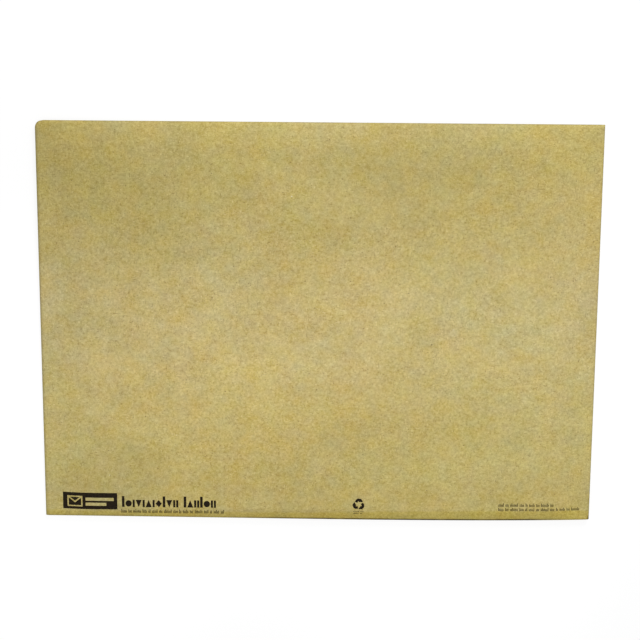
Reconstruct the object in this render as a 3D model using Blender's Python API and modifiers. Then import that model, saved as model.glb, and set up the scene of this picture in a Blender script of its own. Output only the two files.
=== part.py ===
"""A padded paper envelope that lies on its back, front face up, with its flap folded under.

+X runs from the mouth to the glued bottom end and +Y across the front. Lengths are in metres.
Run it with: blender --background --python part.py
"""

import math
from collections import namedtuple

import bmesh
import bpy

# Outside size, from fold to fold
LENGTH = 0.362
WIDTH = 0.267

# Thickness of each ply, and of the empty pocket between the liner's walls
KRAFT = 0.00025
WADDING = 0.0012
LINER = 0.0002
POCKET = 0.0006
ADHESIVE = 0.0002
RELEASE = 0.00012

# Clearance between loose plies, and between flat faces that are stuck together
PLY_GAP = 0.0003
CONTACT_GAP = 0.0001

# The wadding is pressed thinner by this much at each end, beyond a short even stretch, and at
# each side, where the front slopes down to its fold. The -Y side is the near one.
CRUSH = 0.0005
END_FLAT = 0.004
END_RUN = 0.024
NEAR_SIDE_RUN = 0.0085
FAR_SIDE_RUN = 0.016
SIDE_SLOPE = 1.4

# Where the padding and the liner stop short of the end folds' outer edges
PADDING_INSET = 0.008
LINER_INSET = 0.0035

# Back seam: how far the two back panels lap, and the run in which the lower one steps down
LAP = 0.025
LAP_RUN = 0.004

# Closing flap and bottom tuck: reach under the back, narrowing on each side, corner radius
FLAP_LENGTH = 0.050
FLAP_TAPER = 0.008
FLAP_CORNER = 0.012
TUCK_LENGTH = 0.028
TUCK_TAPER = 0.003
TUCK_CORNER = 0.003

# Self-seal strip on the flap: its place from the flap's edge and from the long sides
STRIP_WIDTH = 0.018
STRIP_FROM_EDGE = 0.010
STRIP_INSET = 0.020
RELEASE_MARGIN = 0.003

# Wear: the long edge at -Y bows outwards, and the corner at -X +Y is blunt
EDGE_BOW = 0.0014
BOW_CREST = 0.68
BOW_FULLNESS = 0.75
BLUNT_RADIUS = 0.005

# Loft of the padding, and soft rises whose centres are shares of the half length and width
LOFT = 0.0013
Swell = namedtuple("Swell", "along across reach_along reach_across height")
SWELLS = (
    Swell(along=0.30, across=-0.50, reach_along=0.125, reach_across=0.042, height=0.0011),
    Swell(along=0.12, across=0.70, reach_along=0.120, reach_across=0.030, height=0.0006),
    Swell(along=-0.55, across=-0.30, reach_along=0.060, reach_across=0.050, height=0.0004),
)
SWELL_FADE = 0.034

# Mesh rows: those close to an edge are shares of the fade, and the rest are evenly spaced
EDGE_SHARES = (0.12, 0.33, 0.66, 1.0)
ROW_STEP = 0.028
SHOULDER_ROWS = 3
FOLD_STEPS = 8
LINER_FOLD_STEPS = 4
CORNER_STEPS = 3

# Sizes that follow from the plies
BODY = 2 * (KRAFT + PLY_GAP + WADDING + PLY_GAP + LINER) + POCKET
RIM_BODY = BODY - 2 * CRUSH
SIDE_LEVEL = (WIDTH - BODY) / 2
LAP_STEP = KRAFT + CONTACT_GAP
TUCK_DROP = LAP_STEP + CONTACT_GAP + KRAFT
FLAP_DROP = LAP_STEP + CONTACT_GAP + RELEASE + CONTACT_GAP + ADHESIVE + CONTACT_GAP + KRAFT

# Radius of each ply's surface at the side folds, from the axis that they all share
WRAPPER_RADIUS = (BODY - KRAFT) / 2
LINER_RADIUS = (POCKET + LINER) / 2
PADDING_INNER_RADIUS = POCKET / 2 + LINER + PLY_GAP
PADDING_OUTER_RADIUS = PADDING_INNER_RADIUS + WADDING

# The two end folds: how far under the back their paper returns, and its outline there
EndFold = namedtuple("EndFold", "drop length taper corner")
MOUTH = EndFold(FLAP_DROP, FLAP_LENGTH, FLAP_TAPER, FLAP_CORNER)
BOTTOM = EndFold(TUCK_DROP, TUCK_LENGTH, TUCK_TAPER, TUCK_CORNER)

# Colour and roughness of each material
KRAFT_BROWN = (0.51, 0.41, 0.17, 1.0)
WADDING_GREY = (0.42, 0.38, 0.31, 1.0)
LINER_BROWN = (0.50, 0.38, 0.20, 1.0)
GLUE_CREAM = (0.80, 0.76, 0.60, 1.0)
RELEASE_WHITE = (0.86, 0.87, 0.84, 1.0)


def ease(value):
    """Rise from 0 to 1 with level ends."""
    value = min(max(value, 0.0), 1.0)
    return value * value * (3 - 2 * value)


def shoulder(y):
    """Rise from 0 at a side fold to 1 where the front is level, steepest beside the fold."""
    run = NEAR_SIDE_RUN if y < 0 else FAR_SIDE_RUN
    inward = min(max((WIDTH / 2 - abs(y)) / run, 0.0), 1.0)
    return 1 - (1 - inward) ** SIDE_SLOPE


def body_thickness(along, y):
    """Thickness of the body at a place out from its middle, before the front swells."""
    from_end = ease((LENGTH / 2 - END_FLAT - along) / END_RUN)
    return RIM_BODY + (BODY - RIM_BODY) * from_end * shoulder(y)


def end_radius(end):
    """Outer radius of an end fold, from the front face down to the sheet under the back."""
    return (RIM_BODY + end.drop) / 2


def end_level(end):
    """How far from the middle the front stays level before the end fold starts."""
    return LENGTH / 2 - end_radius(end)


def swell(x, y):
    """Height of the lofted front above its flat form, which dies out at the folds."""
    from_end = min(end_level(MOUTH) + x, end_level(BOTTOM) - x)
    rise = LOFT
    for bump in SWELLS:
        along = (x - bump.along * LENGTH / 2) / bump.reach_along
        across = (y - bump.across * WIDTH / 2) / bump.reach_across
        rise += bump.height * math.exp(-(along ** 2 + across ** 2) / 2)
    return rise * ease(from_end / SWELL_FADE) * shoulder(y)


def worn_outline(x, y):
    """Move a place in plan for the bowed long edge and the blunt corner."""
    share = min(max(x / LENGTH + 0.5, 0.0), 1.0)
    crest_power = math.log(0.5) / math.log(BOW_CREST)
    fullness = math.sin(math.pi * share ** crest_power)
    bow = EDGE_BOW * max(fullness, 0.0) ** BOW_FULLNESS * ease(-2 * y / WIDTH)
    from_end = BLUNT_RADIUS - (x + LENGTH / 2)
    from_side = BLUNT_RADIUS - (WIDTH / 2 - y)
    if from_end > 0 and from_side > 0:
        square = max(from_end, from_side)
        pull = 1 - square / math.hypot(from_end, from_side)
        return x + from_end * pull, y - from_side * pull
    return x, y - bow


def wrap(travel, level, radius):
    """Follow paper out along a level face, round a half turn and back underneath.

    Gives the distance out, and the height above the fold's axis as a share of the radius.
    """
    if travel <= level:
        return travel, 1.0
    turn = (travel - level) / radius
    if turn < math.pi:
        return level + radius * math.sin(turn), math.cos(turn)
    return underneath(travel, level, radius), -1.0


def underneath(travel, level, radius):
    """Swap paper's travel for its distance out, or the other way round, once past a fold."""
    return 2 * level + math.pi * radius - travel


def ply_point(travel_x, travel_y, rolled_radius, face_radius, crush):
    """Place a point of a flat ply where it lies once the ply is folded and filled.

    The ply is cut to roll round the side folds at one radius, and its face lies there at
    another. Crush is the share of the body's loss of thickness that the face follows.
    """
    end = MOUTH if travel_x < 0 else BOTTOM
    level_x = end_level(end)
    out_x, lengthwise = wrap(abs(travel_x), level_x, end_radius(end) - KRAFT / 2)
    out_y, crosswise = wrap(abs(travel_y), SIDE_LEVEL, rolled_radius)

    rim_radius = face_radius - crush * (BODY - RIM_BODY) / 2
    rim_level = (WIDTH - RIM_BODY) / 2
    if out_y > SIDE_LEVEL:
        rim_out = rim_level + (out_y - SIDE_LEVEL) * rim_radius / rolled_radius
    else:
        rim_out = out_y * rim_level / SIDE_LEVEL

    x = math.copysign(out_x, travel_x)
    y = rim_out if travel_y > 0 else -rim_out
    thickness = body_thickness(min(abs(travel_x), level_x), y)
    settled_radius = face_radius - crush * (BODY - thickness) / 2
    side_axis = thickness / 2
    end_axis = (RIM_BODY - end.drop) / 2
    z = end_axis + lengthwise * (side_axis - end_axis + settled_radius * crosswise)
    if abs(travel_x) <= level_x:
        z += swell(x, y) * (1 + crosswise) / 2
    return x, y, z


def end_width(end, run):
    """Width of a flap or tuck, as a share of its root, at a run back from its fold."""
    full_run = end.length - end_radius(end)
    half_width = SIDE_LEVEL - end.taper * run / full_run
    past_corner = max(run - (full_run - end.corner), 0.0)
    half_width -= end.corner - math.sqrt(max(end.corner ** 2 - past_corner ** 2, 0.0))
    return half_width / SIDE_LEVEL


def wrapper_point(travel_x, travel_y, _):
    """Place a point of the outer sheet, with its flap, its tuck and its back seam."""
    x, y, z = ply_point(travel_x, travel_y, WRAPPER_RADIUS, WRAPPER_RADIUS, crush=1)
    end = MOUTH if travel_x < 0 else BOTTOM
    run = abs(travel_x) - end_level(end) - math.pi * (end_radius(end) - KRAFT / 2)
    if run > 0:
        y *= end_width(end, run)
    if travel_y > SIDE_LEVEL + math.pi * WRAPPER_RADIUS:
        z -= LAP_STEP * ease((LAP / 2 + LAP_RUN - y) / LAP_RUN)
    return x, y, z


def padding_point(travel_x, travel_y, face):
    """Place a point of the padding: face 0 lies next to the liner and face 1 next to the kraft."""
    face_radius = PADDING_INNER_RADIUS + WADDING * face
    return ply_point(travel_x, travel_y, PADDING_OUTER_RADIUS, face_radius, crush=face)


def liner_point(travel_x, travel_y, _):
    """Place a point of the liner's middle surface."""
    return ply_point(travel_x, travel_y, LINER_RADIUS, LINER_RADIUS, crush=0)


def spread(start, end, step):
    """Even places from start to end, at most a step apart."""
    count = max(1, math.ceil(abs(end - start) / step))
    return [start + (end - start) * index / count for index in range(count + 1)]


def front_rows():
    """Rows across the front, closer together on its two shoulders."""
    near = SIDE_LEVEL + NEAR_SIDE_RUN - WIDTH / 2
    far = SIDE_LEVEL + FAR_SIDE_RUN - WIDTH / 2
    near_rows = spread(-SIDE_LEVEL, near - SIDE_LEVEL, near / SHOULDER_ROWS)
    middle = spread(near - SIDE_LEVEL, SIDE_LEVEL - far, ROW_STEP)
    far_rows = spread(SIDE_LEVEL - far, SIDE_LEVEL, far / SHOULDER_ROWS)
    return near_rows + middle[1:] + far_rows[1:]


def level_rows(low, high):
    """Rows along a level face, closer together near its two ends."""
    edge = [share * SWELL_FADE for share in EDGE_SHARES]
    middle = spread(low + edge[-1], high - edge[-1], ROW_STEP)
    near_low = [low + inward for inward in edge[:-1]]
    near_high = [high - inward for inward in reversed(edge[:-1])]
    return [low] + near_low + middle + near_high + [high]


def fold_rows(level, radius, steps):
    """Rows round a half-turn fold, after the row where the level face ends."""
    return [level + math.pi * radius * index / steps for index in range(1, steps + 1)]


def end_rows(end):
    """Rows round an end fold and along its flap or tuck."""
    radius = end_radius(end) - KRAFT / 2
    folded = fold_rows(end_level(end), radius, FOLD_STEPS)
    straight_run = end.length - end_radius(end) - end.corner
    straight = [folded[-1] + run for run in spread(0, straight_run, ROW_STEP)[1:]]
    quarter = math.pi / 2
    corner = [straight[-1] + end.corner * math.sin(quarter * index / CORNER_STEPS)
              for index in range(1, CORNER_STEPS + 1)]
    return folded + straight + corner


def body_rows(inset):
    """Rows along a sleeve that stops short of both end folds."""
    low = inset - LENGTH / 2
    high = LENGTH / 2 - inset
    inner = [row for row in level_rows(-end_level(MOUTH), end_level(BOTTOM)) if low < row < high]
    return [low] + inner + [high]


def flat_sheet(bm, along, across):
    """A flat sheet of paper whose rows of vertices lie at the given places."""
    columns = len(along) - 1
    rows = len(across) - 1
    bmesh.ops.create_grid(bm, x_segments=columns, y_segments=rows, size=0.5)
    for vertex in bm.verts:
        column = round((vertex.co.x + 0.5) * columns)
        row = round((vertex.co.y + 0.5) * rows)
        vertex.co = (along[column], across[row], 0.0)


def lay(bm, place):
    """Fold a flat ply into the envelope with a function that places each vertex, then wear it."""
    for vertex in bm.verts:
        x, y, z = place(*vertex.co)
        vertex.co = (*worn_outline(x, y), z)


def sleeve_sheet(bm, inset, radius, fold_steps):
    """The flat sheet of a sleeve whose two edges nearly meet along the middle of the back."""
    folded = fold_rows(SIDE_LEVEL, radius, fold_steps)
    half = folded + [underneath(PLY_GAP / 2, SIDE_LEVEL, radius)]
    across = [-row for row in reversed(half)] + front_rows() + half
    flat_sheet(bm, body_rows(inset), across)


def make_material(name, colour, roughness):
    """A plain finish for one piece."""
    material = bpy.data.materials.new(name)
    material.use_nodes = True
    shader = material.node_tree.nodes["Principled BSDF"]
    shader.inputs["Base Color"].default_value = colour
    shader.inputs["Roughness"].default_value = roughness
    shader.inputs["Metallic"].default_value = 0.0
    return material


def make_piece(name, bm, material, holder, collection):
    """Turn a bmesh into a named piece that is held by the envelope's frame."""
    bmesh.ops.recalc_face_normals(bm, faces=bm.faces)
    mesh = bpy.data.meshes.new(name)
    bm.to_mesh(mesh)
    bm.free()
    mesh.materials.append(material)
    mesh.shade_smooth()
    piece = bpy.data.objects.new(name, mesh)
    piece.parent = holder
    collection.objects.link(piece)
    return piece


def thicken(piece, thickness):
    """Give a sheet its thickness, half on each side."""
    wall = piece.modifiers.new("paper", "SOLIDIFY")
    wall.thickness = thickness
    wall.offset = 0.0
    wall.use_even_offset = True


def make_outer_wrapper(holder, collection):
    """The outer sheet: front, side folds, lapped back panels, bottom tuck and closing flap."""
    bm = bmesh.new()
    mouth_rows = [-row for row in reversed(end_rows(MOUTH))]
    level_x = level_rows(-end_level(MOUTH), end_level(BOTTOM))
    along = mouth_rows + level_x + end_rows(BOTTOM)

    folded = fold_rows(SIDE_LEVEL, WRAPPER_RADIUS, FOLD_STEPS)
    back_end = underneath(-LAP / 2, SIDE_LEVEL, WRAPPER_RADIUS)
    half_back = underneath(SIDE_LEVEL / 2, SIDE_LEVEL, WRAPPER_RADIUS)
    step_start = underneath(LAP / 2 + LAP_RUN, SIDE_LEVEL, WRAPPER_RADIUS)
    step_end = underneath(LAP / 2, SIDE_LEVEL, WRAPPER_RADIUS)
    step_rows = spread(step_start, step_end, LAP_RUN / 2)
    upper_panel = folded + [half_back, back_end]
    lower_panel = folded + [half_back] + step_rows + [back_end]
    across = [-row for row in reversed(upper_panel)]
    across += front_rows() + lower_panel
    flat_sheet(bm, along, across)

    side_quarter = SIDE_LEVEL + math.pi * WRAPPER_RADIUS / 2
    cut_away = []
    for face in bm.faces:
        centre = face.calc_center_median()
        end = MOUTH if centre.x < 0 else BOTTOM
        quarter_x = end_level(end) + math.pi * (end_radius(end) - KRAFT / 2) / 2
        past_level = abs(centre.x) > end_level(end) and abs(centre.y) > SIDE_LEVEL
        past_quarter = abs(centre.x) > quarter_x or abs(centre.y) > side_quarter
        if past_level and past_quarter:
            cut_away.append(face)
    bmesh.ops.delete(bm, geom=cut_away, context="FACES")

    lay(bm, wrapper_point)
    material = make_material("kraft paper", KRAFT_BROWN, 0.85)
    piece = make_piece("outer_wrapper", bm, material, holder, collection)
    thicken(piece, KRAFT)
    return piece


def make_padding(holder, collection):
    """The sleeve of paper wadding, pressed thinner at its two ends."""
    bm = bmesh.new()
    sleeve_sheet(bm, PADDING_INSET, PADDING_OUTER_RADIUS, FOLD_STEPS)
    slab = bmesh.ops.extrude_face_region(bm, geom=bm.faces[:])
    outer_face = [item for item in slab["geom"] if isinstance(item, bmesh.types.BMVert)]
    bmesh.ops.translate(bm, verts=outer_face, vec=(0.0, 0.0, 1.0))
    lay(bm, padding_point)
    material = make_material("paper wadding", WADDING_GREY, 0.95)
    return make_piece("padding", bm, material, holder, collection)


def make_inner_liner(holder, collection):
    """The thin sleeve that lines the pocket."""
    bm = bmesh.new()
    sleeve_sheet(bm, LINER_INSET, LINER_RADIUS, LINER_FOLD_STEPS)
    lay(bm, liner_point)
    material = make_material("liner paper", LINER_BROWN, 0.8)
    piece = make_piece("inner_liner", bm, material, holder, collection)
    thicken(piece, LINER)
    return piece


def make_strip(name, margin, thickness, base, material, holder, collection):
    """A flat strip that lies along the flap, with a margin round the glued band."""
    bm = bmesh.new()
    bmesh.ops.create_cube(bm, size=1.0)
    size = (STRIP_WIDTH + 2 * margin, WIDTH - 2 * STRIP_INSET + 2 * margin, thickness)
    centre_x = FLAP_LENGTH - LENGTH / 2 - STRIP_FROM_EDGE - STRIP_WIDTH / 2
    bmesh.ops.scale(bm, verts=bm.verts, vec=size)
    bmesh.ops.translate(bm, verts=bm.verts, vec=(centre_x, 0.0, base + thickness / 2))
    return make_piece(name, bm, material, holder, collection)


def make_closure(holder, collection):
    """The band of adhesive on the flap and the release paper that covers it."""
    adhesive_base = KRAFT + CONTACT_GAP - FLAP_DROP
    release_base = adhesive_base + ADHESIVE + CONTACT_GAP
    glue = make_material("adhesive", GLUE_CREAM, 0.35)
    paper = make_material("release paper", RELEASE_WHITE, 0.4)
    make_strip("adhesive_strip", 0.0, ADHESIVE, adhesive_base, glue, holder, collection)
    make_strip("release_liner", RELEASE_MARGIN, RELEASE, release_base, paper, holder, collection)


def stand_on_origin(holder, wrapper):
    """Put the middle of the outline over the origin, with the flap on the ground."""
    outline = [vertex.co.y for vertex in wrapper.data.vertices]
    holder.location = (0.0, -(min(outline) + max(outline)) / 2, FLAP_DROP)


def main():
    """Build the envelope in a collection of its own."""
    for item in list(bpy.data.objects):
        bpy.data.objects.remove(item, do_unlink=True)
    collection = bpy.data.collections.new("padded_envelope")
    bpy.context.scene.collection.children.link(collection)
    holder = bpy.data.objects.new("envelope", None)
    collection.objects.link(holder)

    wrapper = make_outer_wrapper(holder, collection)
    make_padding(holder, collection)
    make_inner_liner(holder, collection)
    make_closure(holder, collection)
    stand_on_origin(holder, wrapper)


main()
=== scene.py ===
"""Looks of a padded paper envelope that lies on its back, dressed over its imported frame.

Lengths are in metres. Each ply is rolled from a flat sheet round the same folds and over the
same soft rises as the solid that it stands for, with much finer rows and a finish of its own.
"""

import math
from collections import namedtuple
from itertools import cycle

import bmesh
import bpy
from mathutils import Euler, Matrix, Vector, noise


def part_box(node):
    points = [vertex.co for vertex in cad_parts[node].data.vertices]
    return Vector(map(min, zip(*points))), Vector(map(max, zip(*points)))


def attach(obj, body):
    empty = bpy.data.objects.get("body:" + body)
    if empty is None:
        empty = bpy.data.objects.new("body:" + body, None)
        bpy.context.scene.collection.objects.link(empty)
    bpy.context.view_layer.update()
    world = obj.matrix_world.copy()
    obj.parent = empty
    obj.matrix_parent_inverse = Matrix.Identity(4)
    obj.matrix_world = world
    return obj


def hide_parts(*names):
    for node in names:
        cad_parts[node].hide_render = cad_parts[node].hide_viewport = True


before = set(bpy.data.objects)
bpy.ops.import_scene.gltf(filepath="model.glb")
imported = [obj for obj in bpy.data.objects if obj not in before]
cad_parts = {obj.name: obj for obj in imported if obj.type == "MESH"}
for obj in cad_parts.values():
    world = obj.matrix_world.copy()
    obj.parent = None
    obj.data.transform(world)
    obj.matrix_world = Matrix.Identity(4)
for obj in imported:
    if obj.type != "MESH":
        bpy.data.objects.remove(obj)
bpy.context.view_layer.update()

# Outside size, from fold to fold
LENGTH = 0.362
WIDTH = 0.267

# Thickness of each ply, of the empty pocket, and the clearance between them
KRAFT = 0.00025
WADDING = 0.0012
LINER = 0.0002
POCKET = 0.0006
ADHESIVE = 0.0002
RELEASE = 0.00012
PLY_GAP = 0.0003
CONTACT_GAP = 0.0001

# The wadding is pressed thinner towards each end and each side
CRUSH = 0.0005
END_FLAT = 0.004
END_RUN = 0.024
NEAR_SIDE_RUN = 0.0085
FAR_SIDE_RUN = 0.016
SIDE_SLOPE = 1.4
PADDING_INSET = 0.008
LINER_INSET = 0.0035

# Back seam, closing flap and bottom tuck
LAP = 0.025
LAP_RUN = 0.004
FLAP_LENGTH = 0.050
FLAP_TAPER = 0.008
FLAP_CORNER = 0.012
TUCK_LENGTH = 0.028
TUCK_TAPER = 0.003
TUCK_CORNER = 0.003

# Wear: a bowed long edge and a blunt corner
EDGE_BOW = 0.0014
BOW_CREST = 0.68
BOW_FULLNESS = 0.75
BLUNT_RADIUS = 0.005

# Loft of the padding, and soft rises whose centres are shares of the half length and width
LOFT = 0.0013
Swell = namedtuple("Swell", "along across reach_along reach_across height")
SWELLS = (
    Swell(along=0.30, across=-0.50, reach_along=0.125, reach_across=0.042, height=0.0011),
    Swell(along=0.12, across=0.70, reach_along=0.120, reach_across=0.030, height=0.0006),
    Swell(along=-0.55, across=-0.30, reach_along=0.060, reach_across=0.050, height=0.0004),
)
SWELL_FADE = 0.034

# Cockling of the paper over the lumpy wadding: size of the lumps and their height
COCKLES = ((0.050, 0.00012), (0.022, 0.00006))
COCKLE_FADE = 0.020

# A ramp turns a field's values from low to high into values from to_low to to_high
Ramp = namedtuple("Ramp", "low high to_low to_high", defaults=(0.0, 1.0))
MOTTLE = Ramp(0.30, 0.70)

# Kraft paper: its own tone, and blotches, pulp and grain that pull it towards one of two others
KRAFT_TONE = (191, 174, 104)
YELLOW, GREY = (206, 174, 40), (180, 174, 146)
GREEN, ORANGE = (166, 176, 92), (212, 166, 92)
DARK, PALE = (122, 98, 40), (240, 228, 174)
Blotch = namedtuple("Blotch", "size pull seed")
BLOTCHES = (
    (YELLOW, GREY, Blotch(0.130, 0.50, 0.3)),
    (YELLOW, GREY, Blotch(0.050, 0.38, 1.7)),
    (YELLOW, GREY, Blotch(0.017, 0.25, 4.1)),
    (YELLOW, GREY, Blotch(0.0085, 0.36, 2.2)),
    (GREEN, ORANGE, Blotch(0.130, 0.12, 5.3)),
    (GREEN, ORANGE, Blotch(0.022, 0.13, 6.1)),
    (GREEN, ORANGE, Blotch(0.0085, 0.10, 7.7)),
    (DARK, PALE, Blotch(0.060, 0.08, 8.3)),
    (DARK, PALE, Blotch(0.022, 0.09, 9.1)),
)
PULP = Blotch(0.0042, 0.11, 2.9)
GRAIN = Blotch(0.0018, 0.24, 6.3)

# Fibres in the kraft: their width, the seed and stretch of each layer, and the two kinds
FIBRE_WIDTH = 0.00042
FIBRE_LAYERS = ((8.0, (6, 1, 1)), (9.0, (1, 6, 1)), (10.0, (3, 2, 1)))
PALE_FIBRES = Ramp(0.66, 0.76, 0.0, 0.40)
DARK_FIBRES = Ramp(0.35, 0.25, 0.0, 0.45)

# Specks and spots: a share of the cells hold one each, and its solid core is a share of its size
Fleck = namedtuple("Fleck", "cell size share seed strength tone")
FLECKS = (
    Fleck(0.0075, 0.00050, share=0.50, seed=3.3, strength=0.55, tone=(84, 56, 30)),
    Fleck(0.0150, 0.00050, share=0.30, seed=5.1, strength=0.60, tone=(238, 236, 222)),
    Fleck(0.0200, 0.00060, share=0.35, seed=7.9, strength=0.80, tone=(64, 42, 22)),
)
FLECK_CORE = 0.6
CHANCE_STEP = 0.001

# Painted shade: a dark line on the crest of the near long fold, where it turns away from the light:
# strength, where it fades in height and length, and how patchy it is
PAINTED_SHADE = 0.92
PAINTED_SHADE_TONE = (58, 48, 18)
PAINTED_SHADE_TOP = Ramp(0.0062, 0.0058)
PAINTED_SHADE_FOOT = Ramp(0.0036, 0.0044)
PAINTED_SHADE_START = Ramp(-0.060, 0.000, 0.12, 1.0)
PAINTED_SHADE_END = Ramp(0.140, 0.160, 1.0, 0.0)
PAINTED_SHADE_PATCH_SIZE = 0.012
PAINTED_SHADE_PATCHES = Ramp(0.30, 0.55, 0.6, 1.0)

# Yellowed paper: how it grows across the front towards each long edge, and changes along it
AGED_TINT = (1.0, 0.995, 0.82, 1.0)
AGED_FAR = Ramp(0.02, 0.10)
AGED_CORNERS = Ramp(0.03, 0.14, 0.5, 1.0)
AGED_NEAR = Ramp(-0.01, -0.08)
AGED_ALONG = Ramp(-0.15, 0.05, 0.4, 0.8)

# Soiled patch near the mouth, and the dark tip of the near bottom corner
Patch = namedtuple("Patch", "centre reach tint")
SOIL = Patch((-0.140, -0.108, 0.0), (0.060, 0.040, 1.0), (0.86, 0.86, 0.84, 1.0))
TIP = Patch((0.1806, -0.1318, 0.0), (0.0016, 0.0032, 1.0), (0.34, 0.32, 0.26, 1.0))
PATCH_FADE = Ramp(1.0, 0.2)

# Browner strip beside the near long fold, from a faint crease that nears the fold towards the mouth
STRIP_TINT = (1.0, 0.97, 0.68, 1.0)
STRIP_EDGE = Ramp(-0.012, 0.108, -0.1281, -0.1258)
STRIP_FADE = Ramp(0.0008, -0.0008)

# Spacing of the rows of vertices
FRONT_STEP = 0.003
SHOULDER_STEP = 0.001
SHOULDER = 0.016
BACK_STEP = 0.008
FOLD_STEPS = 16
LINER_FOLD_STEPS = 8
CORNER_STEPS = 6
LAP_STEPS = 6

# Smoothed faces keep a sharp edge where they turn by more than this
SHARP_ANGLE = math.radians(50)

# Sizes that follow from the plies
BODY = 2 * (KRAFT + PLY_GAP + WADDING + PLY_GAP + LINER) + POCKET
RIM_BODY = BODY - 2 * CRUSH
SIDE_LEVEL = (WIDTH - BODY) / 2
LAP_STEP = KRAFT + CONTACT_GAP
TUCK_DROP = LAP_STEP + CONTACT_GAP + KRAFT
FLAP_DROP = LAP_STEP + CONTACT_GAP + RELEASE + CONTACT_GAP + ADHESIVE + CONTACT_GAP + KRAFT
WRAPPER_RADIUS = (BODY - KRAFT) / 2
LINER_RADIUS = (POCKET + LINER) / 2
PADDING_INNER_RADIUS = POCKET / 2 + LINER + PLY_GAP
PADDING_OUTER_RADIUS = PADDING_INNER_RADIUS + WADDING

EndFold = namedtuple("EndFold", "drop length taper corner")
MOUTH = EndFold(FLAP_DROP, FLAP_LENGTH, FLAP_TAPER, FLAP_CORNER)
BOTTOM = EndFold(TUCK_DROP, TUCK_LENGTH, TUCK_TAPER, TUCK_CORNER)

# Where the front panel's middle lies in the frame, and how high the back lies off the ground
PANEL_MIDDLE = Vector((0.0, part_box("outer_wrapper")[1].y - WIDTH / 2, FLAP_DROP))

# Print on the front: film of ink, and its places measured from the panel's middle. Cuts in the
# block that meet closer than the weld become one
INK_LIFT = 0.00004
INK_FILM = 0.00001
BLOCK = (-0.1691, -0.1272, -0.1329, -0.1155)
BLOCK_CELL = 0.003
BLOCK_WELD = 0.000002
PICTURE_LINE = 0.0009
PICTURE_LINES = (
    ((-0.1657, -0.1183), (-0.1565, -0.1183)),
    ((-0.1657, -0.1249), (-0.1565, -0.1249)),
    ((-0.1657, -0.1249), (-0.1657, -0.1183)),
    ((-0.1565, -0.1249), (-0.1565, -0.1183)),
    ((-0.1657, -0.1183), (-0.1611, -0.1220)),
    ((-0.1611, -0.1220), (-0.1565, -0.1183)),
)
BAR_HEIGHT = 0.0022
PICTURE_BARS = (((-0.1529, -0.1200), (-0.1363, -0.1200)), ((-0.1529, -0.1235), (-0.1413, -0.1235)))
BAND_BASE = -0.1252
BAND_HEIGHT = 0.0051
TALL_HEIGHT = 0.0077
BAND_GAP = 0.0006

# Ink shapes: corners (0 for a plain upright stroke), width, and the span of heights they fill,
# which runs downwards where a shape is turned over
Shape = namedtuple("Shape", "corners width low high")
TALL = Shape(0, 0.0017, 0.0, TALL_HEIGHT)
STROKE = Shape(0, 0.0014, 0.0, BAND_HEIGHT)
DISC = Shape(16, 0.0042, 0.0003, 0.0048)
DIAMOND = Shape(4, 0.0042, 0.0, BAND_HEIGHT)
WEDGE = Shape(3, 0.0040, 0.0, BAND_HEIGHT)
FUNNEL = Shape(3, 0.0040, BAND_HEIGHT, 0.0)
LONG_BAND = (TALL, DISC, STROKE, FUNNEL, STROKE, WEDGE, STROKE, DIAMOND, TALL, FUNNEL, STROKE,
             STROKE)
SHORT_BAND = (TALL, WEDGE, STROKE, STROKE, TALL, DISC, STROKE, STROKE)
BANDS = ((-0.1298, LONG_BAND), (-0.0888, SHORT_BAND))

# Lines of fine upright ticks, the widths of their groups, and the shares of the height that
# the ticks fill in turn
SmallLine = namedtuple("SmallLine", "start end base height")
SMALL_LINES = (
    SmallLine(-0.1303, -0.0622, -0.1297, 0.0029),
    SmallLine(0.0239, 0.0306, -0.1276, 0.0010),
    SmallLine(0.0238, 0.0302, -0.1291, 0.0010),
    SmallLine(0.1202, 0.1574, -0.1229, 0.0025),
    SmallLine(0.1201, 0.1745, -0.1259, 0.0022),
)
GROUPS = (0.0040, 0.0022, 0.0052, 0.0030, 0.0016)
GROUP_GAP = 0.0009
TICK = 0.00040
TICK_GAP = 0.00036
TICK_SHARES = (1.0, 0.65, 0.80, 0.65, 0.65)

# Mark of three bent arrows round a triangle: the tail and the neck, where the head starts,
# are shares of its side
MARK_CENTRE = (0.0273, -0.1220)
MARK_RADIUS = 0.0045
MARK_BAND = 0.0018
MARK_BEND = 0.0013
MARK_HEAD = 0.0017
MARK_TAIL = -0.33
MARK_NECK = 0.10
MARK_STEPS = 12
THIRD_TURN = 2 * math.pi / 3

# The photograph's view
FRAME_PIXELS = 640
FOCAL_PIXELS = 2203
SENSOR = 36.0
CAMERA_PLACE = (0.0092, 0.3956, 1.3814)
CAMERA_TURN = (-15.863, 0.019, 0.486)
CAMERA_SHIFT = -0.027

# Light from all round, as it falls on the envelope, and as it looks behind it
ROOM_LIGHT = 0.508
ROOM_WHITE = 1.0
WHITE = (1.0, 1.0, 1.0, 1.0)

# Floor: half its side, the grey that takes the shadow, and the glow that makes it pale
FLOOR_REACH = 4.0
FLOOR_GREY = (0.20, 0.20, 0.20, 1.0)
FLOOR_GLOW = 0.85

# Softbox beyond the far long edge
KEY_PLACE = Vector((0.38, 1.30, 0.88))
KEY_SIZE = 0.6
KEY_POWER = 11.8

# Soft pools of light that give the front the gentle changes of brightness in the photograph
Pool = namedtuple("Pool", "name aim radius power")
POOLS = (
    Pool("near left pool light", Vector((-0.177, -0.094, 0.0)), 0.193, 19.0),
    Pool("near middle pool light", Vector((0.078, -0.100, 0.0)), 0.181, 15.9),
    Pool("middle pool light", Vector((-0.022, 0.021, 0.0)), 0.110, 15.8),
    Pool("far right pool light", Vector((0.198, 0.069, 0.0)), 0.184, 14.3),
    Pool("far edge pool light", Vector((-0.034, 0.289, 0.0)), 0.211, 29.1),
)
POOL_THROW = Vector((0.15, 0.35, 1.35))
POOL_SOFTNESS = 0.02


def ease(value):
    """Rise from 0 to 1 with level ends."""
    value = min(max(value, 0.0), 1.0)
    return value * value * (3 - 2 * value)


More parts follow.
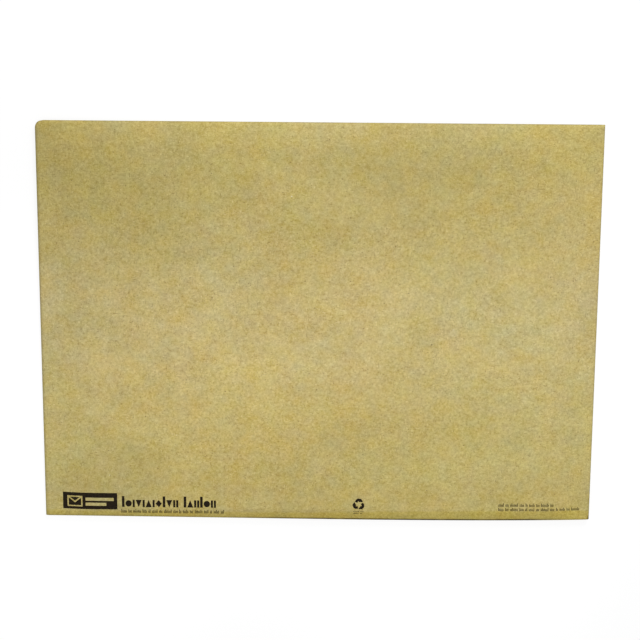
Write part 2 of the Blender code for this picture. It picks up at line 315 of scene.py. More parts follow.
def shoulder(y):
    """Rise from 0 at a side fold to 1 where the front is level, steepest beside the fold."""
    run = NEAR_SIDE_RUN if y < 0 else FAR_SIDE_RUN
    inward = min(max((WIDTH / 2 - abs(y)) / run, 0.0), 1.0)
    return 1 - (1 - inward) ** SIDE_SLOPE


def body_thickness(along, y):
    """Thickness of the body at a place out from its middle, before the front swells."""
    from_end = ease((LENGTH / 2 - END_FLAT - along) / END_RUN)
    return RIM_BODY + (BODY - RIM_BODY) * from_end * shoulder(y)


def end_radius(end):
    """Outer radius of an end fold."""
    return (RIM_BODY + end.drop) / 2


def end_level(end):
    """How far from the middle the front stays level before the end fold starts."""
    return LENGTH / 2 - end_radius(end)


def swell(x, y):
    """Height of the lofted front above its flat form, which dies out at the folds."""
    from_end = min(end_level(MOUTH) + x, end_level(BOTTOM) - x)
    rise = LOFT
    for bump in SWELLS:
        along = (x - bump.along * LENGTH / 2) / bump.reach_along
        across = (y - bump.across * WIDTH / 2) / bump.reach_across
        rise += bump.height * math.exp(-(along ** 2 + across ** 2) / 2)
    return rise * ease(from_end / SWELL_FADE) * shoulder(y)


def cockle(x, y):
    """Small unevenness of the front paper."""
    return sum(height * noise.noise(Vector((x / size, y / size, layer)))
               for layer, (size, height) in enumerate(COCKLES))


def bow(x, y):
    """How far the near long edge has bowed outwards at a place in plan."""
    share = min(max(x / LENGTH + 0.5, 0.0), 1.0)
    crest_power = math.log(0.5) / math.log(BOW_CREST)
    fullness = math.sin(math.pi * share ** crest_power)
    return EDGE_BOW * max(fullness, 0.0) ** BOW_FULLNESS * ease(-2 * y / WIDTH)


def worn_outline(x, y):
    """Move a place in plan for the bowed long edge and the blunt corner."""
    from_end = BLUNT_RADIUS - (x + LENGTH / 2)
    from_side = BLUNT_RADIUS - (WIDTH / 2 - y)
    if from_end > 0 and from_side > 0:
        square = max(from_end, from_side)
        pull = 1 - square / math.hypot(from_end, from_side)
        return x + from_end * pull, y - from_side * pull
    return x, y - bow(x, y)


def underneath(travel, level, radius):
    """Swap paper's travel for its distance out, or the other way round, once past a fold."""
    return 2 * level + math.pi * radius - travel


def wrap(travel, level, radius):
    """Follow paper out along a level face, round a half turn and back underneath.

    Gives the distance out, and the height above the fold's axis as a share of the radius.
    """
    if travel <= level:
        return travel, 1.0
    turn = (travel - level) / radius
    if turn < math.pi:
        return level + radius * math.sin(turn), math.cos(turn)
    return underneath(travel, level, radius), -1.0


def ply_point(travel_x, travel_y, rolled_radius, face_radius, crush):
    """Place a point of a flat ply where it lies once the ply is folded and filled."""
    end = MOUTH if travel_x < 0 else BOTTOM
    level_x = end_level(end)
    out_x, lengthwise = wrap(abs(travel_x), level_x, end_radius(end) - KRAFT / 2)
    out_y, crosswise = wrap(abs(travel_y), SIDE_LEVEL, rolled_radius)

    rim_radius = face_radius - crush * (BODY - RIM_BODY) / 2
    rim_level = (WIDTH - RIM_BODY) / 2
    if out_y > SIDE_LEVEL:
        rim_out = rim_level + (out_y - SIDE_LEVEL) * rim_radius / rolled_radius
    else:
        rim_out = out_y * rim_level / SIDE_LEVEL
    x = math.copysign(out_x, travel_x)
    y = rim_out if travel_y > 0 else -rim_out
    thickness = body_thickness(min(abs(travel_x), level_x), y)
    settled_radius = face_radius - crush * (BODY - thickness) / 2

    side_axis = thickness / 2
    end_axis = (RIM_BODY - end.drop) / 2
    z = end_axis + lengthwise * (side_axis - end_axis + settled_radius * crosswise)
    if abs(travel_x) <= level_x:
        z += swell(x, y) * (1 + crosswise) / 2
    return x, y, z


def end_width(end, run):
    """Width of a flap or tuck, as a share of its root, at a run back from its fold."""
    full_run = end.length - end_radius(end)
    half_width = SIDE_LEVEL - end.taper * run / full_run
    past_corner = max(run - (full_run - end.corner), 0.0)
    half_width -= end.corner - math.sqrt(max(end.corner ** 2 - past_corner ** 2, 0.0))
    return half_width / SIDE_LEVEL


def wrapper_point(travel_x, travel_y, _):
    """Place a point of the outer sheet, with its flap, its tuck and its back seam."""
    x, y, z = ply_point(travel_x, travel_y, WRAPPER_RADIUS, WRAPPER_RADIUS, crush=1)
    end = MOUTH if travel_x < 0 else BOTTOM
    run = abs(travel_x) - end_level(end) - math.pi * (end_radius(end) - KRAFT / 2)
    if run > 0:
        y *= end_width(end, run)
    if travel_y > SIDE_LEVEL + math.pi * WRAPPER_RADIUS:
        z -= LAP_STEP * ease((LAP / 2 + LAP_RUN - y) / LAP_RUN)
    if abs(travel_x) <= end_level(end) and abs(travel_y) <= SIDE_LEVEL:
        inward = min(end_level(end) - abs(travel_x), SIDE_LEVEL - abs(travel_y))
        z += cockle(x, y) * ease(inward / COCKLE_FADE)
    return x, y, z


def ink_point(travel_x, travel_y, film):
    """Place a point of the print on the paper's outer face: film 0 is its lower side."""
    x, y, z = wrapper_point(travel_x, travel_y, 0)
    return x, y, z + KRAFT / 2 + INK_LIFT + INK_FILM * film


def padding_point(travel_x, travel_y, face):
    """Place a point of the padding: face 0 lies next to the liner and face 1 next to the kraft."""
    face_radius = PADDING_INNER_RADIUS + WADDING * face
    return ply_point(travel_x, travel_y, PADDING_OUTER_RADIUS, face_radius, crush=face)


def liner_point(travel_x, travel_y, _):
    """Place a point of the liner's middle surface."""
    return ply_point(travel_x, travel_y, LINER_RADIUS, LINER_RADIUS, crush=0)


def spread(start, end, step):
    """Even places from start to end, at most a step apart."""
    count = max(1, math.ceil(abs(end - start) / step))
    return [start + (end - start) * index / count for index in range(count + 1)]


def level_rows():
    """Rows along the front panel, between its two end folds."""
    return spread(-end_level(MOUTH), end_level(BOTTOM), FRONT_STEP)


def front_rows(step):
    """Rows across the front panel, closer together beside its two folds."""
    inner = SIDE_LEVEL - SHOULDER
    middle = spread(-inner, inner, step)
    beside_fold = spread(inner, SIDE_LEVEL, SHOULDER_STEP)[1:]
    return [-row for row in reversed(beside_fold)] + middle + beside_fold


def fold_rows(level, radius, steps):
    """Rows round a half-turn fold, after the row where the level face ends."""
    return [level + math.pi * radius * index / steps for index in range(1, steps + 1)]


def end_rows(end):
    """Rows round an end fold and along its flap or tuck."""
    radius = end_radius(end) - KRAFT / 2
    folded = fold_rows(end_level(end), radius, FOLD_STEPS)
    straight_run = end.length - end_radius(end) - end.corner
    straight = [folded[-1] + run for run in spread(0, straight_run, BACK_STEP)[1:]]
    quarter = math.pi / 2
    corner = [straight[-1] + end.corner * math.sin(quarter * index / CORNER_STEPS)
              for index in range(1, CORNER_STEPS + 1)]
    return folded + straight + corner


def flat_sheet(bm, along, across):
    """A flat sheet whose rows of vertices lie at the given places, added to the bmesh."""
    columns = len(along) - 1
    rows = len(across) - 1
    grid = bmesh.ops.create_grid(bm, x_segments=columns, y_segments=rows, size=0.5)
    for vertex in grid["verts"]:
        column = round((vertex.co.x + 0.5) * columns)
        row = round((vertex.co.y + 0.5) * rows)
        vertex.co = (along[column], across[row], 0.0)
    return grid["verts"]


def second_face(bm):
    """Give flat paper a second face, marked by a height of 1."""
    slab = bmesh.ops.extrude_face_region(bm, geom=bm.faces[:])
    raised = [item for item in slab["geom"] if isinstance(item, bmesh.types.BMVert)]
    bmesh.ops.translate(bm, verts=raised, vec=(0.0, 0.0, 1.0))


def lay(bm, place):
    """Fold flat vertices into the envelope with a function that places each, then wear them."""
    for vertex in bm.verts:
        x, y, z = place(*vertex.co)
        vertex.co = Vector((*worn_outline(x, y), z)) + PANEL_MIDDLE


def add_object(name, data):
    """Put a new object in the scene, which holds a mesh, a lamp or the camera."""
    holder = bpy.data.objects.new(name, data)
    bpy.context.scene.collection.objects.link(holder)
    return holder


def keep_mesh(name, bm):
    """Turn a bmesh into a mesh of its own."""
    mesh = bpy.data.meshes.new(name)
    bm.to_mesh(mesh)
    bm.free()
    return mesh


def finish_piece(name, bm, material, paper=0.0):
    """Make a bmesh a finished piece, which rides with the envelope.

    Paper is the thickness of a single sheet, which the piece is given on both sides.
    """
    bmesh.ops.recalc_face_normals(bm, faces=bm.faces)
    mesh = keep_mesh(name, bm)
    piece = add_object(name, mesh)
    if paper:
        wall = piece.modifiers.new("paper", "SOLIDIFY")
        wall.thickness = paper
        wall.offset = 0.0
        wall.use_even_offset = True
        graph = bpy.context.evaluated_depsgraph_get()
        thick = bpy.data.meshes.new_from_object(piece.evaluated_get(graph))
        piece.modifiers.clear()
        piece.data = thick
        bpy.data.meshes.remove(mesh)
    piece.data.shade_smooth()
    piece.data.set_sharp_from_angle(angle=SHARP_ANGLE)
    piece.data.materials.clear()
    piece.data.materials.append(material)
    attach(piece, "root")
    return piece


def add_node(material, kind, inputs=None, **settings):
    """Add a node to a material or the world, set its options, and fill or link its inputs."""
    tree = material.node_tree
    node = tree.nodes.new("ShaderNode" + kind)
    for name, value in settings.items():
        setattr(node, name, value)
    for name, value in (inputs or {}).items():
        if isinstance(value, bpy.types.NodeSocket):
            tree.links.new(value, node.inputs[name])
        else:
            node.inputs[name].default_value = value
    return node


def noise_at(material, place, size, detail=2.0, roughness=0.5, stretch=(1, 1, 1), seed=0.0):
    """Soft noise from 0 to 1 whose features have a real size, and may be stretched."""
    mapped = add_node(material, "Mapping", {"Vector": place, "Location": (seed, seed, seed),
                                            "Scale": [1 / axis for axis in stretch]})
    made = add_node(material, "TexNoise", {"Vector": mapped.outputs["Vector"],
                                           "Scale": 1 / size, "Detail": detail,
                                           "Roughness": roughness})
    return made.outputs["Fac"]


def remap(material, value, ramp):
    """Send a value along a ramp, and clamp what lies outside it."""
    made = add_node(material, "MapRange", {"Value": value, "From Min": ramp.low,
                                           "From Max": ramp.high, "To Min": ramp.to_low,
                                           "To Max": ramp.to_high})
    return made.outputs["Result"]


def blend_colour(material, factor, first, second, mode="MIX"):
    """Mix two colours by a factor. The mix node's sockets for colours go by number."""
    made = add_node(material, "Mix", {0: factor, 6: first, 7: second},
                    data_type="RGBA", blend_type=mode)
    return made.outputs[2]


def combine(material, operation, first, second):
    """Two values added, subtracted or multiplied, or the larger of them."""
    made = add_node(material, "Math", {0: first, 1: second}, operation=operation)
    return made.outputs["Value"]


def srgb(red, green, blue):
    """A colour as it looks on screen, from 0 to 255, as the linear colour that nodes take."""
    def linear(value):
        value /= 255
        return value / 12.92 if value <= 0.04045 else ((value + 0.055) / 1.055) ** 2.4
    return (linear(red), linear(green), linear(blue), 1.0)


def mottle(material, field, low, high, ramp=MOTTLE):
    """One tone where a field is low, and another where it is high."""
    return blend_colour(material, remap(material, field, ramp), srgb(*low), srgb(*high))


def sway(material, colour, field, low, high, pull):
    """Pull a colour towards one tone where a field is low, and another where it is high."""
    return blend_colour(material, remap(material, field, MOTTLE),
                        blend_colour(material, pull, colour, srgb(*low)),
                        blend_colour(material, pull, colour, srgb(*high)))


def tinge(material, colour, field, ramp, tone):
    """Lay a tone over a colour, as strongly as a field's ramp says."""
    return blend_colour(material, remap(material, field, ramp), colour, srgb(*tone))


def new_material(name, roughness, gloss):
    """A material with its shader, and the object's own coordinates."""
    material = bpy.data.materials.new(name)
    material.use_nodes = True
    shader = material.node_tree.nodes["Principled BSDF"]
    shader.inputs["Roughness"].default_value = roughness
    shader.inputs["Specular IOR Level"].default_value = gloss
    place = add_node(material, "TexCoord").outputs["Object"]
    return material, shader, place


def shade(material, shader, colour, relief, strength, depth):
    """Link a colour and a relief to a material's shader."""
    bump = add_node(material, "Bump", {"Height": relief, "Strength": strength,
                                       "Distance": depth})
    material.node_tree.links.new(colour, shader.inputs["Base Color"])
    material.node_tree.links.new(bump.outputs["Normal"], shader.inputs["Normal"])


def make_kraft():
    """Recycled kraft paper: blotchy olive and tan, with grain, fibres, sparse specks, wear, and
    painted shade along the near long fold.
    """
    material, shader, place = new_material("recycled kraft paper", roughness=0.82, gloss=0.25)
    colour = srgb(*KRAFT_TONE)
    for low, high, blotch in BLOTCHES:
        hue = noise_at(material, place, blotch.size, detail=1.0, seed=blotch.seed)
        colour = sway(material, colour, hue, low, high, blotch.pull)
    pulp = noise_at(material, place, PULP.size, roughness=0.7, seed=PULP.seed)
    colour = sway(material, colour, pulp, DARK, PALE, PULP.pull)
    grain = noise_at(material, place, GRAIN.size, roughness=0.8, seed=GRAIN.seed)
    colour = sway(material, colour, grain, DARK, PALE, GRAIN.pull)
    for seed, stretch in FIBRE_LAYERS:
        fibre = noise_at(material, place, FIBRE_WIDTH, detail=1.0, stretch=stretch, seed=seed)
        colour = tinge(material, colour, fibre, PALE_FIBRES, tone=(234, 220, 172))
        colour = tinge(material, colour, fibre, DARK_FIBRES, tone=(116, 88, 44))
    for fleck in FLECKS:
        amount = combine(material, "MULTIPLY", flecks_at(material, place, fleck), fleck.strength)
        colour = blend_colour(material, amount, colour, srgb(*fleck.tone))
    colour = wear_and_shade_kraft(material, place, colour)
    shade(material, shader, colour, pulp, strength=0.35, depth=0.0002)
    return material


def flecks_at(material, place, fleck):
    """Scattered specks: one in each chosen cell, 1 at a speck and 0 elsewhere."""
    shift = (fleck.seed, -fleck.seed, fleck.seed)
    moved = add_node(material, "Mapping", {"Vector": place, "Location": shift})
    cells = add_node(material, "TexVoronoi", {"Vector": moved.outputs["Vector"],
                                              "Scale": 1 / fleck.cell})
    spot = remap(material, cells.outputs["Distance"],
                 Ramp(fleck.size / fleck.cell, FLECK_CORE * fleck.size / fleck.cell))
    chance = add_node(material, "SeparateColor", {"Color": cells.outputs["Color"]})
    chosen = remap(material, chance.outputs["Red"],
                   Ramp(1 - fleck.share, 1 - fleck.share + CHANCE_STEP))
    return combine(material, "MULTIPLY", spot, chosen)


def wear_and_shade_kraft(material, place, colour):
    """Tint the kraft where it is yellowed and soiled, browner beside the near fold and dark at the
    near bottom tip, and paint shade along the near long fold.
    """
    tints = ((aged_paper(material, place), AGED_TINT),
             (soft_patch(material, place, SOIL), SOIL.tint),
             (soft_patch(material, place, TIP), TIP.tint),
             (browner_strip(material, place), STRIP_TINT))
    for amount, tint in tints:
        colour = blend_colour(material, amount, colour, tint, mode="MULTIPLY")
    # Painted shade: a dark line along the near long fold
    return blend_colour(material, painted_fold_shade(material, place), colour, srgb(*PAINTED_SHADE_TONE))


def aged_paper(material, place):
    """How much the paper has yellowed: most at the far corners, and not at all in the middle."""
    spot = add_node(material, "SeparateXYZ", {"Vector": place})
    along, across = spot.outputs["X"], spot.outputs["Y"]
    outward = add_node(material, "Math", {0: along}, operation="ABSOLUTE").outputs["Value"]
    far = combine(material, "MULTIPLY", remap(material, across, AGED_FAR),
                  remap(material, outward, AGED_CORNERS))
    near = combine(material, "MULTIPLY", remap(material, across, AGED_NEAR),
                   remap(material, along, AGED_ALONG))
    return combine(material, "ADD", far, near)


def soft_patch(material, place, patch):
    """A patch that is 1 round its centre and fades to 0 at its reach each way."""
    spot = add_node(material, "Mapping", {"Vector": place, "Location": patch.centre,
                                          "Scale": patch.reach}, vector_type="TEXTURE")
    away = add_node(material, "VectorMath", {0: spot.outputs["Vector"]},
                    operation="LENGTH").outputs["Value"]
    return remap(material, away, PATCH_FADE)


def browner_strip(material, place):
    """1 between the near long fold and the faint crease beside it, and 0 on the rest."""
    spot = add_node(material, "SeparateXYZ", {"Vector": place})
    edge = remap(material, spot.outputs["X"], STRIP_EDGE)
    inside = combine(material, "SUBTRACT", spot.outputs["Y"], edge)
    return remap(material, inside, STRIP_FADE)


# Painted shade on the near long fold, where it turns away from the light
def painted_fold_shade(material, place):
    """How dark the painted shade is along the crest of the near long fold."""
    spot = add_node(material, "SeparateXYZ", {"Vector": place})
    beside = 2 * WRAPPER_RADIUS - WIDTH / 2
    amount = remap(material, spot.outputs["Y"], Ramp(beside, beside - WRAPPER_RADIUS / 4))
    for axis, ramp in (("Z", PAINTED_SHADE_TOP), ("Z", PAINTED_SHADE_FOOT), ("X", PAINTED_SHADE_START), ("X", PAINTED_SHADE_END)):
        near = remap(material, spot.outputs[axis], ramp)
        amount = combine(material, "MULTIPLY", amount, near)
    patchy = noise_at(material, place, PAINTED_SHADE_PATCH_SIZE, seed=11.0)
    amount = combine(material, "MULTIPLY", amount, remap(material, patchy, PAINTED_SHADE_PATCHES))
    return combine(material, "MULTIPLY", amount, PAINTED_SHADE)


def make_wadding():
    """Grey-brown macerated paper with loose fibres."""
    material, shader, place = new_material("macerated wadding", roughness=0.95, gloss=0.2)
    lumps = noise_at(material, place, size=0.005, detail=4.0, roughness=0.65, seed=1.0)
    colour = mottle(material, lumps, low=(132, 122, 106), high=(186, 176, 158))
    fibre = noise_at(material, place, size=0.0008, stretch=(5, 1, 1), seed=2.0)
    colour = tinge(material, colour, fibre, Ramp(0.6, 0.75, 0.0, 0.7), tone=(214, 206, 190))
    shade(material, shader, colour, lumps, strength=0.8, depth=0.0008)
    return material


def make_liner_paper():
    """Thin smooth kraft."""
    material, shader, place = new_material("thin liner paper", roughness=0.75, gloss=0.3)
    cloud = noise_at(material, place, size=0.020, detail=4.0, seed=3.0)
    colour = mottle(material, cloud, low=(182, 158, 112), high=(198, 176, 130))
    grain = noise_at(material, place, size=0.0012, stretch=(4, 1, 1), seed=5.0)
    colour = tinge(material, colour, grain, Ramp(0.6, 0.8, 0.0, 0.4), tone=(214, 196, 154))
    shade(material, shader, colour, grain, strength=0.3, depth=0.0002)
    return material


def make_adhesive():
    """A cloudy band of tacky hot-melt glue."""
    material, shader, place = new_material("self-seal adhesive", roughness=0.30, gloss=0.5)
    cloud = noise_at(material, place, size=0.006, detail=3.0, seed=2.0)
    colour = mottle(material, cloud, low=(222, 214, 180), high=(236, 230, 204))
    shade(material, shader, colour, cloud, strength=0.5, depth=0.0003)
    return material


def make_release_paper():
    """Smooth white release paper with a faint sheen."""
    material, shader, place = new_material("coated release paper", roughness=0.38, gloss=0.5)
    cloud = noise_at(material, place, size=0.010, detail=3.0, seed=4.0)
    colour = mottle(material, cloud, low=(232, 232, 226), high=(243, 243, 238))
    shade(material, shader, colour, cloud, strength=0.2, depth=0.0002)
    return material


def make_ink():
    """Black flexo ink, worn thin where the paper is coarse."""
    material, shader, place = new_material("printing ink", roughness=0.70, gloss=0.1)
    wear = noise_at(material, place, size=0.0012, detail=3.0, roughness=0.6, seed=7.0)
    colour = mottle(material, wear, low=(16, 11, 4), high=(42, 32, 16), ramp=Ramp(0.35, 0.75))
    shade(material, shader, colour, wear, strength=0.2, depth=0.0001)
    return material


def wrapper_rows():
    """Rows across the outer sheet, from one edge of the back seam round the front to the other."""
    outs = spread(SIDE_LEVEL, LAP / 2 + LAP_RUN, BACK_STEP)[1:]
    outs += spread(LAP / 2 + LAP_RUN, LAP / 2, LAP_RUN / LAP_STEPS)[1:]
    outs += spread(LAP / 2, -LAP / 2, LAP)[1:]
    back = fold_rows(SIDE_LEVEL, WRAPPER_RADIUS, FOLD_STEPS)
    back += [underneath(out, SIDE_LEVEL, WRAPPER_RADIUS) for out in outs]
    return [-row for row in reversed(back)] + front_rows(FRONT_STEP) + back


def cut_corners(bm):
    """Cut out the flat sheet's four corners, from a quarter of the way round their two folds."""
    side_quarter = SIDE_LEVEL + math.pi * WRAPPER_RADIUS / 2
    cut_away = []
    for face in bm.faces:
        centre = face.calc_center_median()
        end = MOUTH if centre.x < 0 else BOTTOM
        quarter_x = end_level(end) + math.pi * (end_radius(end) - KRAFT / 2) / 2
        past_level = abs(centre.x) > end_level(end) and abs(centre.y) > SIDE_LEVEL
        if past_level and (abs(centre.x) > quarter_x or abs(centre.y) > side_quarter):
            cut_away.append(face)
    bmesh.ops.delete(bm, geom=cut_away, context="FACES")


def make_wrapper(material):
    """The outer sheet: front, side folds, lapped back panels, bottom tuck and closing flap."""
    bm = bmesh.new()
    along = [-row for row in reversed(end_rows(MOUTH))] + level_rows() + end_rows(BOTTOM)
    flat_sheet(bm, along, wrapper_rows())
    cut_corners(bm)
    lay(bm, wrapper_point)
    piece = finish_piece("kraft_wrapper", bm, material, paper=KRAFT)
    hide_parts("outer_wrapper")


def sleeve_sheet(bm, inset, radius, fold_steps):
    """The flat sheet of a sleeve whose two edges nearly meet along the middle of the back."""
    outs = spread(SIDE_LEVEL, PLY_GAP / 2, BACK_STEP)[1:]
    half = fold_rows(SIDE_LEVEL, radius, fold_steps)
    half += [underneath(out, SIDE_LEVEL, radius) for out in outs]
    across = [-row for row in reversed(half)] + front_rows(BACK_STEP) + half
    flat_sheet(bm, spread(inset - LENGTH / 2, LENGTH / 2 - inset, BACK_STEP), across)


def make_padding(material):
    """The sleeve of wadding between the kraft and the liner."""
    bm = bmesh.new()
    sleeve_sheet(bm, PADDING_INSET, PADDING_OUTER_RADIUS, FOLD_STEPS)
    second_face(bm)
    lay(bm, padding_point)
    piece = finish_piece("wadding_sleeve", bm, material)
    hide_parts("padding")


def make_liner(material):
    """The thin sleeve that lines the pocket."""
    bm = bmesh.new()
    sleeve_sheet(bm, LINER_INSET, LINER_RADIUS, LINER_FOLD_STEPS)
    lay(bm, liner_point)
    piece = finish_piece("pocket_liner", bm, material, paper=LINER)
    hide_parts("inner_liner")


def dress_node(node, material):
    """Give a solid that is shown as it is a finish of its own."""
    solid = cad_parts[node]
    solid.data.materials.clear()
    solid.data.materials.append(material)


def ink_shape(bm, corners, low_x, low_y, high_x, high_y):
    """A disc, diamond, wedge or plain rectangle of flat ink that fills a space."""
    if corners:
        shape = bmesh.ops.create_circle(bm, cap_ends=True, segments=corners, radius=1.0)
    else:
        shape = bmesh.ops.create_grid(bm, x_segments=1, y_segments=1, size=1.0)
    places = [vertex.co.copy() for vertex in shape["verts"]]
    left, low = (min(place[axis] for place in places) for axis in (0, 1))
    right, high = (max(place[axis] for place in places) for axis in (0, 1))
    for vertex in shape["verts"]:
        vertex.co.x = low_x + (high_x - low_x) * (vertex.co.x - left) / (right - left)
        vertex.co.y = low_y + (high_y - low_y) * (vertex.co.y - low) / (high - low)


def print_piece(name, bm, material):
    """Lay flat ink on the front panel, straight in plan, and bent where the paper bends."""
    for vertex in bm.verts:
        vertex.co.y += bow(vertex.co.x, vertex.co.y)
    for axis, rows in enumerate((level_rows(), front_rows(FRONT_STEP))):
        normal = Vector((1.0 - axis, axis, 0.0))
        reach = [vertex.co[axis] for vertex in bm.verts]
        for row in rows:
            if min(reach) < row < max(reach):
                geometry = bm.verts[:] + bm.edges[:] + bm.faces[:]
                bmesh.ops.bisect_plane(bm, geom=geometry, plane_co=row * normal, plane_no=normal)
    second_face(bm)
    lay(bm, ink_point)
    finish_piece(name, bm, material)


def clear_line(bm, line, breadth):
    """Leave a straight line of bare paper in flat ink."""
    start, end = (Vector((*point, 0.0)) for point in line)
    ahead = (end - start).normalized()
    aside = ahead.cross(Vector((0.0, 0.0, 1.0)))
    reach = breadth / 2
    sides = ((start - reach * ahead, ahead), (end + reach * ahead, -ahead),
             (start - reach * aside, aside), (start + reach * aside, -aside))
    for corner, inward in sides:
        geometry = bm.verts[:] + bm.edges[:] + bm.faces[:]
        bmesh.ops.bisect_plane(bm, geom=geometry, plane_co=corner, plane_no=inward)
    bare = [face for face in bm.faces
            if all((face.calc_center_median() - corner).dot(inward) > 0
                   for corner, inward in sides)]
    bmesh.ops.delete(bm, geom=bare, context="FACES")


def make_block(material):
    """The solid panel at the left of the print, with a plain envelope and bars left bare."""
    bm = bmesh.new()
    low_x, low_y, high_x, high_y = BLOCK
    flat_sheet(bm, spread(low_x, high_x, BLOCK_CELL), spread(low_y, high_y, BLOCK_CELL))
    for line in PICTURE_LINES:
        clear_line(bm, line, PICTURE_LINE)
    for line in PICTURE_BARS:
        clear_line(bm, line, BAR_HEIGHT)
    bmesh.ops.remove_doubles(bm, verts=bm.verts, dist=BLOCK_WELD)
    print_piece("print_block", bm, material)


def make_bands(material):
    """Two bands of simple shapes beside the block."""
    bm = bmesh.new()
    for start, shapes in BANDS:
        low_x = start
        for shape in shapes:
            high_x = low_x + shape.width
            ink_shape(bm, shape.corners, low_x, BAND_BASE + shape.low,
                      high_x, BAND_BASE + shape.high)
            low_x = high_x + BAND_GAP
    print_piece("print_shapes", bm, material)


def make_small_lines(material):
    """Lines of fine upright ticks, in groups."""
    bm = bmesh.new()
    shares = cycle(TICK_SHARES)
    for line in SMALL_LINES:
        low_x = line.start
        for group in cycle(GROUPS):
            group_end = min(low_x + group, line.end)
            while low_x + TICK <= group_end:
                high_y = line.base + line.height * next(shares)
                ink_shape(bm, 0, low_x, line.base, low_x + TICK, high_y)
                low_x += TICK + TICK_GAP
            low_x += GROUP_GAP
            if low_x >= line.end:
                break
    print_piece("print_ticks", bm, material)


def mark_path(travel):
    """A point and heading on a path that climbs to the mark's corner, bends and comes down."""
    bend_run = MARK_BEND * THIRD_TURN
    corner = Vector((0.0, MARK_RADIUS - 2 * MARK_BEND))
    turn = min(max(travel / bend_run + 0.5, 0.0), 1.0) * THIRD_TURN
    heading = THIRD_TURN / 2 - turn
    out = heading + math.pi / 2
    point = corner + MARK_BEND * Vector((math.cos(out), math.sin(out)))
    beyond = travel - math.copysign(min(abs(travel), bend_run / 2), travel)
    return point + beyond * Vector((math.cos(heading), math.sin(heading))), heading


def make_mark(material):
    """Three bent arrows that chase each other round a triangle."""
    bm = bmesh.new()
    side = MARK_RADIUS * math.sqrt(3)
    tail = MARK_TAIL * side
    neck = MARK_NECK * side
    for index in range(3):
        band = flat_sheet(bm, spread(tail, neck, (neck - tail) / MARK_STEPS),
                          [-MARK_BAND / 2, MARK_BAND / 2])
        for vertex in band:
            point, heading = mark_path(vertex.co.x)
            offset = vertex.co.y * Vector((-math.sin(heading), math.cos(heading)))
            vertex.co = (*(point + offset), 0.0)
        head = bmesh.ops.create_circle(bm, cap_ends=True, segments=3, radius=MARK_HEAD)["verts"]
        point, heading = mark_path(neck)
        centre = point + MARK_HEAD / 2 * Vector((math.cos(heading), math.sin(heading)))
        tip = max(head, key=lambda vertex: vertex.co.y)
        turn = heading - math.atan2(tip.co.y, tip.co.x)
        bmesh.ops.rotate(bm, verts=head, matrix=Euler((0, 0, turn)).to_matrix())
        bmesh.ops.translate(bm, verts=head, vec=(*centre, 0.0))
        arrow = band + head
        spin = Euler((0, 0, index * THIRD_TURN)).to_matrix()
        bmesh.ops.rotate(bm, verts=arrow, matrix=spin)
    bmesh.ops.translate(bm, verts=bm.verts, vec=(*MARK_CENTRE, 0.0))
    print_piece("print_mark", bm, material)


def make_floor():
    """A floor that shows the envelope's soft shadow."""
    bm = bmesh.new()
    bmesh.ops.create_grid(bm, x_segments=1, y_segments=1, size=FLOOR_REACH)
    floor = add_object("floor", keep_mesh("floor", bm))
    floor.data.materials.append(make_floor_finish())


def make_floor_finish():
    """A grey that takes the shadow, and glows nearly white where it is seen directly."""
    material = bpy.data.materials.new("white floor")
    material.use_nodes = True
    material.node_tree.nodes.clear()
    grey = add_node(material, "BsdfDiffuse", {"Color": FLOOR_GREY})
    glow = add_node(material, "Emission", {"Color": WHITE, "Strength": FLOOR_GLOW})
    pale = add_node(material, "AddShader", {0: grey.outputs[0], 1: glow.outputs[0]})
    mix = add_node(material, "MixShader", {"Fac": seen_directly(material), 1: grey.outputs[0],
                                           2: pale.outputs[0]})
    add_node(material, "OutputMaterial", {"Surface": mix.outputs[0]})
    return material


def seen_directly(holder):
    """1 for what the camera sees straight, in a reflection or through glass, and 0 for light."""
    path = add_node(holder, "LightPath")
    total = path.outputs["Is Camera Ray"]
    for name in ("Is Glossy Ray", "Is Transmission Ray"):
        total = combine(holder, "MAXIMUM", total, path.outputs[name])
    return total


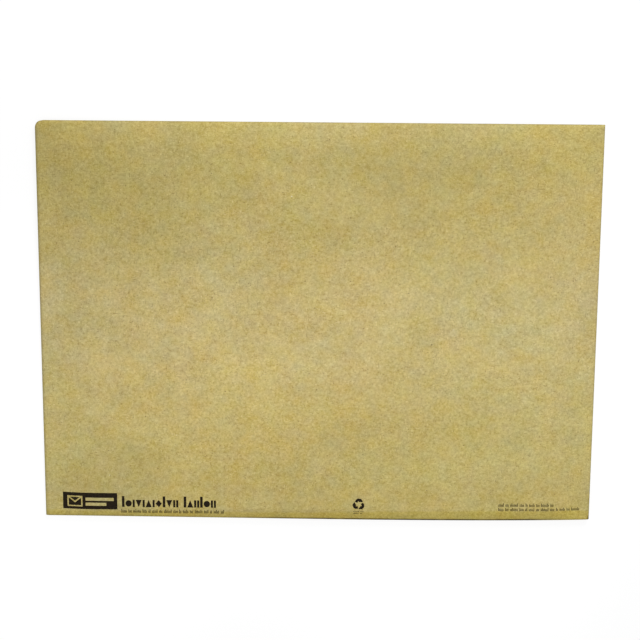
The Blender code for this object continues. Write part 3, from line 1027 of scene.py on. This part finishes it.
def make_world():
    """Soft even light from all round, with a white background."""
    world = bpy.data.worlds.new("soft white room")
    bpy.context.scene.world = world
    world.use_nodes = True
    tree = world.node_tree
    background = tree.nodes["Background"]
    background.inputs["Color"].default_value = WHITE
    strength = remap(world, seen_directly(world), Ramp(0.0, 1.0, ROOM_LIGHT, ROOM_WHITE))
    tree.links.new(strength, background.inputs["Strength"])


def hang_lamp(name, kind, power, place, heading):
    """Hang a lamp at a place, and point it along a heading."""
    lamp = bpy.data.lights.new(name, kind)
    lamp.energy = power
    holder = add_object(name, lamp)
    holder.location = place
    holder.rotation_euler = heading.to_track_quat("-Z", "Y").to_euler()
    return lamp


def make_key_light():
    """A square softbox that points at the middle of the envelope."""
    lamp = hang_lamp("key light", "AREA", KEY_POWER, KEY_PLACE, -KEY_PLACE)
    lamp.shape = "SQUARE"
    lamp.size = KEY_SIZE


def make_pool(pool):
    """A soft-edged round pool of light on the front, from high above it."""
    lamp = hang_lamp(pool.name, "SPOT", pool.power, pool.aim + POOL_THROW, -POOL_THROW)
    lamp.spot_size = 2 * math.atan(pool.radius / POOL_THROW.length)
    lamp.spot_blend = 1.0
    lamp.shadow_soft_size = POOL_SOFTNESS


def make_camera():
    """The photograph's view: from above, leaning towards the far long edge."""
    camera = bpy.data.cameras.new("camera")
    camera.sensor_width = SENSOR
    camera.lens = FOCAL_PIXELS / FRAME_PIXELS * SENSOR
    camera.shift_x = CAMERA_SHIFT
    holder = add_object("camera", camera)
    holder.location = CAMERA_PLACE
    holder.rotation_euler = [math.radians(turn) for turn in CAMERA_TURN]
    bpy.context.scene.camera = holder


def main():
    """Dress the envelope and light it."""
    make_camera()
    make_wrapper(make_kraft())
    make_padding(make_wadding())
    make_liner(make_liner_paper())
    dress_node("adhesive_strip", make_adhesive())
    dress_node("release_liner", make_release_paper())
    ink = make_ink()
    make_block(ink)
    make_bands(ink)
    make_small_lines(ink)
    make_mark(ink)
    make_floor()
    make_world()
    make_key_light()
    for pool in POOLS:
        make_pool(pool)
    bpy.context.scene.view_settings.view_transform = "Standard"


main()
